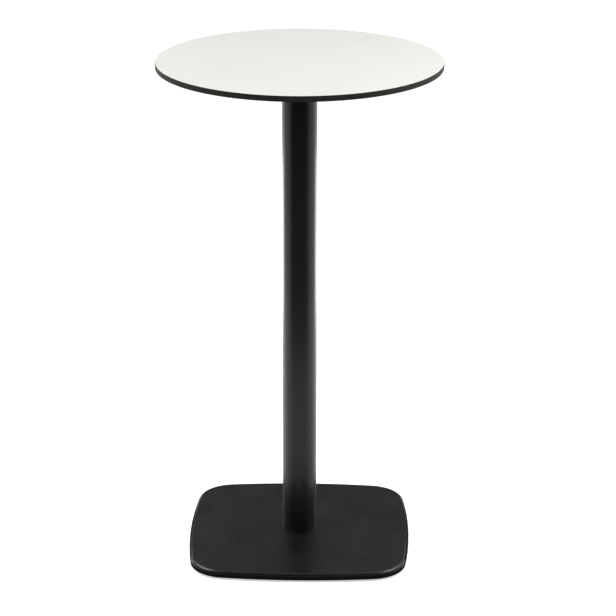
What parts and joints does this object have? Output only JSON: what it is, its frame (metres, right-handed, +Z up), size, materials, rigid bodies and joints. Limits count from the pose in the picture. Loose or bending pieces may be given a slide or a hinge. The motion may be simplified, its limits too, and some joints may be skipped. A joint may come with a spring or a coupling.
{
  "type": "outdoor bar table",
  "caption": "Tall round bar table: thin pale laminate top with a dark edge, black tube column and flat rounded-square base with levelling feet.",
  "frame": {"origin": "on the floor, under the middle of the column", "axes": "+Z up along the column, -Y towards the viewer, +X to the viewer's right, parallel to a base side"},
  "size_m": [0.5999, 0.6, 1.08],
  "materials": {
    "decor_sheet": "satin off-white laminate decor with a very fine texture",
    "laminate_core": "black phenolic core, machined and waxed edge",
    "column_paint": "matte black fine-texture powder coat on steel",
    "spider_paint": "matte black powder coat on a casting",
    "base_paint": "matte black fine-texture powder coat on a casting",
    "zinc_steel": "zinc-plated steel",
    "insert_brass": "turned brass",
    "gasket_rubber": "black rubber",
    "foot_plastic": "black moulded polyamide"
  },
  "bodies": {
    "table": {"top_core": "laminate_core", "top_face_sheet": "decor_sheet", "top_backing_sheet": "decor_sheet", "top_inserts": "insert_brass", "top_spider": "spider_paint", "spider_screws": "zinc_steel", "spider_washers": "zinc_steel", "column_tube": "column_paint", "column_head_gasket": "gasket_rubber", "column_foot_gasket": "gasket_rubber", "tie_rod": "zinc_steel", "tie_rod_top_washer": "zinc_steel", "tie_rod_top_nut": "zinc_steel", "tie_rod_bottom_washer": "zinc_steel", "tie_rod_bottom_nut": "zinc_steel", "base_casting": "base_paint"},
    "foot_pad_front_left": {"foot_pad_front_left": "foot_plastic"},
    "foot_stud_front_left": {"foot_stud_front_left": "zinc_steel"},
    "foot_pad_front_right": {"foot_pad_front_right": "foot_plastic"},
    "foot_stud_front_right": {"foot_stud_front_right": "zinc_steel"},
    "foot_pad_back_left": {"foot_pad_back_left": "foot_plastic"},
    "foot_stud_back_left": {"foot_stud_back_left": "zinc_steel"},
    "foot_pad_back_right": {"foot_pad_back_right": "foot_plastic"},
    "foot_stud_back_right": {"foot_stud_back_right": "zinc_steel"}
  },
  "joints": [
    {"name": "foot_lift_front_left", "type": "slide", "parent": "table", "child": "foot_pad_front_left", "axis": [0, 0, -1], "range_m": [0, 0.005]},
    {"name": "foot_screw_front_left", "type": "hinge", "parent": "foot_pad_front_left", "child": "foot_stud_front_left", "pos_m": [-0.17089, -0.17089, 0.006], "axis": [0, 0, -1], "range_deg": [0, 1440]},
    {"name": "foot_lift_front_right", "type": "slide", "parent": "table", "child": "foot_pad_front_right", "axis": [0, 0, -1], "range_m": [0, 0.005]},
    {"name": "foot_screw_front_right", "type": "hinge", "parent": "foot_pad_front_right", "child": "foot_stud_front_right", "pos_m": [0.17089, -0.17089, 0.006], "axis": [0, 0, -1], "range_deg": [0, 1440]},
    {"name": "foot_lift_back_left", "type": "slide", "parent": "table", "child": "foot_pad_back_left", "axis": [0, 0, -1], "range_m": [0, 0.005]},
    {"name": "foot_screw_back_left", "type": "hinge", "parent": "foot_pad_back_left", "child": "foot_stud_back_left", "pos_m": [-0.17089, 0.17089, 0.006], "axis": [0, 0, -1], "range_deg": [0, 1440]},
    {"name": "foot_lift_back_right", "type": "slide", "parent": "table", "child": "foot_pad_back_right", "axis": [0, 0, -1], "range_m": [0, 0.005]},
    {"name": "foot_screw_back_right", "type": "hinge", "parent": "foot_pad_back_right", "child": "foot_stud_back_right", "pos_m": [0.17089, 0.17089, 0.006], "axis": [0, 0, -1], "range_deg": [0, 1440]}
  ],
  "couplings": [
    {"joint": "foot_lift_front_left", "follows": "foot_screw_front_left", "m_per_rad": 0.00019894},
    {"joint": "foot_lift_front_right", "follows": "foot_screw_front_right", "m_per_rad": 0.00019894},
    {"joint": "foot_lift_back_left", "follows": "foot_screw_back_left", "m_per_rad": 0.00019894},
    {"joint": "foot_lift_back_right", "follows": "foot_screw_back_right", "m_per_rad": 0.00019894}
  ]
}
